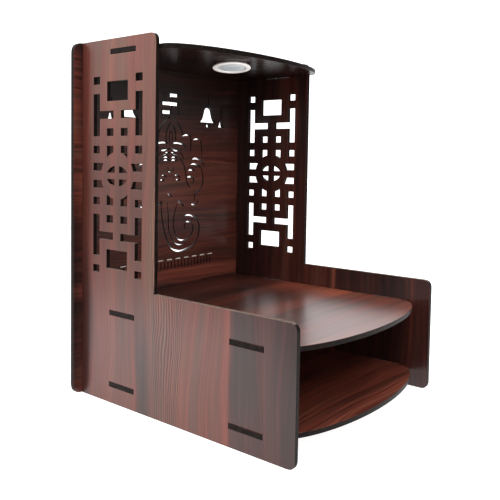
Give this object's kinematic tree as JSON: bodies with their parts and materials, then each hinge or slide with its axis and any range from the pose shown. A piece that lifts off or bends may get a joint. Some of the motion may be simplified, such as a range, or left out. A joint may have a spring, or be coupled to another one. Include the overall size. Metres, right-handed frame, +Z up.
{
  "type": "household altar cabinet",
  "caption": "Open-fronted wood-grain board altar cabinet with stepped lattice sides, pierced back, roof lamp and curved shelves.",
  "frame": {"origin": "on the floor, under the middle of the cabinet's bounding box", "axes": "+Z up, -Y out of the open front, +X to the viewer's right when facing the front"},
  "size_m": [0.31, 0.301, 0.394],
  "materials": {
    "dark_laminate": "satin dark red-brown wood-grain laminate on MDF, laser-darkened edges",
    "white_plastic": "moulded white plastic",
    "frosted_lens": "frosted pale plastic lens"
  },
  "bodies": {
    "root": {"back_panel": "dark_laminate", "left_side_panel": "dark_laminate", "right_side_panel": "dark_laminate", "roof_panel": "dark_laminate", "upper_shelf": "dark_laminate", "lower_shelf": "dark_laminate", "spotlight_bezel": "white_plastic", "spotlight_lens": "frosted_lens"}
  },
  "joints": []
}
